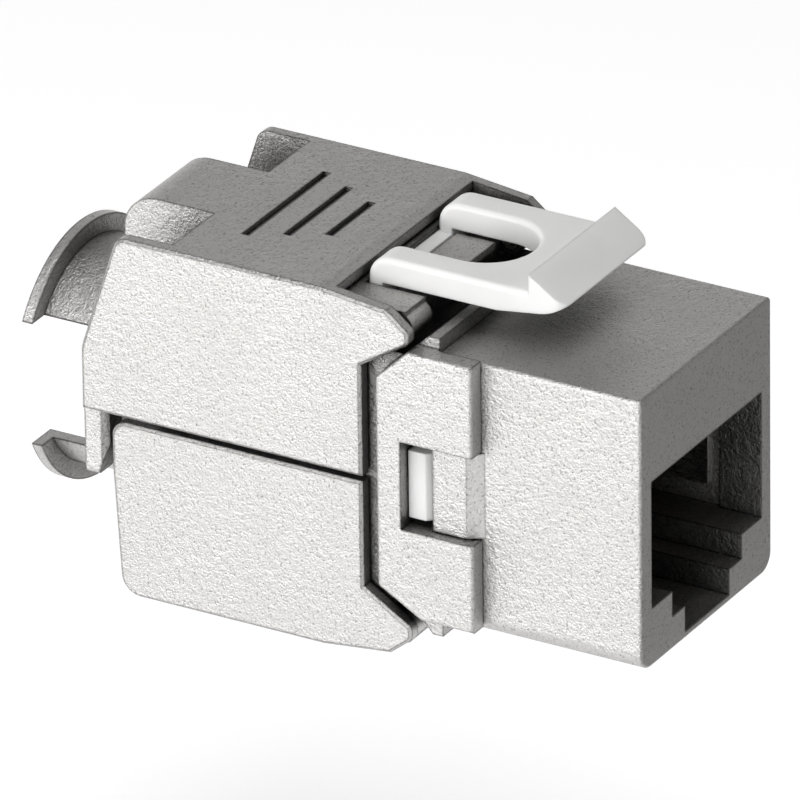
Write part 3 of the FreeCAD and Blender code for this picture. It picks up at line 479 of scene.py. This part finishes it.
studio = {
    "floorSize": 1.6,
    "floorLevel": -0.026,    # low enough for the open lower door
    "floorColour": 0.80,
    "floorLift": 0.48,       # what the floor adds for rays that look at it
    "skySteps": [(0.05, 1.0), (0.38, 0.68), (0.72, 0.14)],  # height in the sky and its brightness
    "shadeLevel": 0.35,      # share of it that is left on the shaded side
    "shadeEdge": 0.3,        # how softly the shaded side begins, towards the front
    "shadeReach": 0.5,       # and towards the right
    "lampTarget": (0, 0, 0.01),
    "keyPower": 0.78,        # watts
    "keyPlace": (-0.34, 0.12, 0.075),
    "keySize": (0.30, 0.12),
    "skyPower": 0.90,
    "skyPlace": (-0.14, -0.06, 0.40),
    "skySize": (0.22, 0.22),
    "cardGap": 0.0007,       # between the jack's front face and the card
    "cardDrop": 0.0004,      # and how far it lies below the jack's base
    "cardSides": (-0.012, 0.25),
    "cardFar": -0.25,
    "cardTone": 0.40,
}


def stageFloor(look):
    size = look["floorSize"]
    level = look["floorLevel"]
    mesh = bpy.data.meshes.new("studioFloor")
    corners = [(x * size, y * size, level) for x, y in ((-1, -1), (1, -1), (1, 1), (-1, 1))]
    mesh.from_pydata(corners, [], [(0, 1, 2, 3)])
    floor = bpy.data.objects.new("studioFloor", mesh)
    bpy.context.scene.collection.objects.link(floor)
    material = bpy.data.materials.new("paleFloor")
    material.use_nodes = True
    tree = material.node_tree
    tree.nodes.clear()
    matte = addNode(tree, "ShaderNodeBsdfDiffuse", {"Color": (look["floorColour"],) * 3 + (1.0,)})
    path = addNode(tree, "ShaderNodeLightPath")
    seen = addNode(tree, "ShaderNodeMath", operation="MAXIMUM")
    link(tree, path, "Is Camera Ray", seen, 0)
    link(tree, path, "Is Glossy Ray", seen, 1)
    through = addNode(tree, "ShaderNodeMath", operation="MAXIMUM")
    link(tree, seen, "Value", through, 0)
    link(tree, path, "Is Transmission Ray", through, 1)
    glow = addNode(tree, "ShaderNodeMath", {1: look["floorLift"]}, operation="MULTIPLY")
    link(tree, through, "Value", glow, 0)
    lift = addNode(tree, "ShaderNodeEmission")
    link(tree, glow, "Value", lift, "Strength")
    both = addNode(tree, "ShaderNodeAddShader")
    tree.links.new(matte.outputs[0], both.inputs[0])
    tree.links.new(lift.outputs[0], both.inputs[1])
    tree.links.new(both.outputs[0], addNode(tree, "ShaderNodeOutputMaterial").inputs["Surface"])
    mesh.materials.append(material)


def darkCard(look):
    # a flat grey card before the port that only reflections see
    left, right = look["cardSides"]
    near, far = cadBox[0][1] - look["cardGap"], look["cardFar"]
    level = cadBox[0][2] - look["cardDrop"]
    mesh = bpy.data.meshes.new("darkCard")
    corners = [(x, y, level) for x, y in ((left, near), (left, far), (right, far), (right, near))]
    mesh.from_pydata(corners, [], [(0, 1, 2, 3)])
    card = bpy.data.objects.new("darkCard", mesh)
    bpy.context.scene.collection.objects.link(card)
    material, tree, shader = newMaterial("greyCard")
    shader.inputs["Base Color"].default_value = (look["cardTone"],) * 3 + (1.0,)
    shader.inputs["Roughness"].default_value = 1.0
    mesh.materials.append(material)
    card.visible_camera = False
    card.visible_diffuse = False
    card.visible_transmission = False
    card.visible_shadow = False


def softLamp(name, place, target, size, power):
    light = bpy.data.lights.new(name, "AREA")
    light.shape = "RECTANGLE"
    light.size, light.size_y = size
    light.energy = power
    lamp = bpy.data.objects.new(name, light)
    bpy.context.scene.collection.objects.link(lamp)
    lamp.location = place
    lamp.rotation_euler = (Vector(target) - Vector(place)).to_track_quat("-Z", "Y").to_euler()
    return lamp


def studioWorld(look):
    # a white sweep low down, a dim ceiling and a shaded side
    world = bpy.data.worlds.new("softStudio")
    bpy.context.scene.world = world
    world.use_nodes = True
    tree = world.node_tree
    tree.nodes.clear()
    place = addNode(tree, "ShaderNodeTexCoord")
    axes = addNode(tree, "ShaderNodeSeparateXYZ")
    link(tree, place, "Generated", axes, "Vector")
    sweep = ramp(tree, axes, "Z", look["skySteps"])
    depth = addNode(tree, "ShaderNodeMapRange", {
        "From Min": -look["shadeEdge"], "From Max": look["shadeEdge"],
        "To Min": look["shadeLevel"], "To Max": 1.0})
    link(tree, axes, "Y", depth, "Value")
    side = addNode(tree, "ShaderNodeMapRange", {
        "From Min": 0.0, "From Max": look["shadeReach"], "To Min": 1.0, "To Max": 0.0})
    link(tree, axes, "X", side, "Value")
    shade = addNode(tree, "ShaderNodeMath", operation="MAXIMUM")
    link(tree, depth, "Result", shade, 0)
    link(tree, side, "Result", shade, 1)
    room = addNode(tree, "ShaderNodeBackground")
    link(tree, sweep, "Color", room, "Color")
    link(tree, shade, "Value", room, "Strength")
    tree.links.new(room.outputs[0], addNode(tree, "ShaderNodeOutputWorld").inputs["Surface"])


cameraView = {
    "azimuth": -59.856,      # degrees
    "elevation": 26.502,
    "roll": -0.75,
    "middle": (0.0, 0.0005, 0.0105),  # point the camera looks at, in the jack's frame
    "pan": 0.000904,
    "rise": 0.000453,
    "distance": 0.88883,
    "focalLength": 738.2,    # mm, on a sensor 36 mm wide
}


def aimCamera(look):
    azimuth, elevation, roll = (math.radians(look[key]) for key in ("azimuth", "elevation", "roll"))
    level = math.cos(elevation)
    back = Vector((math.sin(azimuth) * level, -math.cos(azimuth) * level, math.sin(elevation)))
    across = Vector((0, 0, 1)).cross(back).normalized()
    upright = back.cross(across)
    right = across * math.cos(roll) + upright * math.sin(roll)
    up = upright * math.cos(roll) - across * math.sin(roll)
    target = Vector(look["middle"]) + across * look["pan"] + upright * look["rise"]
    lens = bpy.data.cameras.new("camera")
    lens.sensor_width = 36.0
    lens.lens = look["focalLength"]
    lens.clip_end = 10.0
    camera = bpy.data.objects.new("camera", lens)
    bpy.context.scene.collection.objects.link(camera)
    place = target + back * look["distance"]
    camera.matrix_world = Matrix.Translation(place) @ Matrix((right, up, back)).transposed().to_4x4()
    bpy.context.scene.camera = camera


stageFloor(studio)
studioWorld(studio)
darkCard(studio)
for lamp in ("key", "sky"):
    place, size, power = (studio[lamp + key] for key in ("Place", "Size", "Power"))
    softLamp(lamp + "Softbox", place, studio["lampTarget"], size, power)
aimCamera(cameraView)
bpy.context.scene.view_settings.view_transform = "Standard"
print("studio ready")
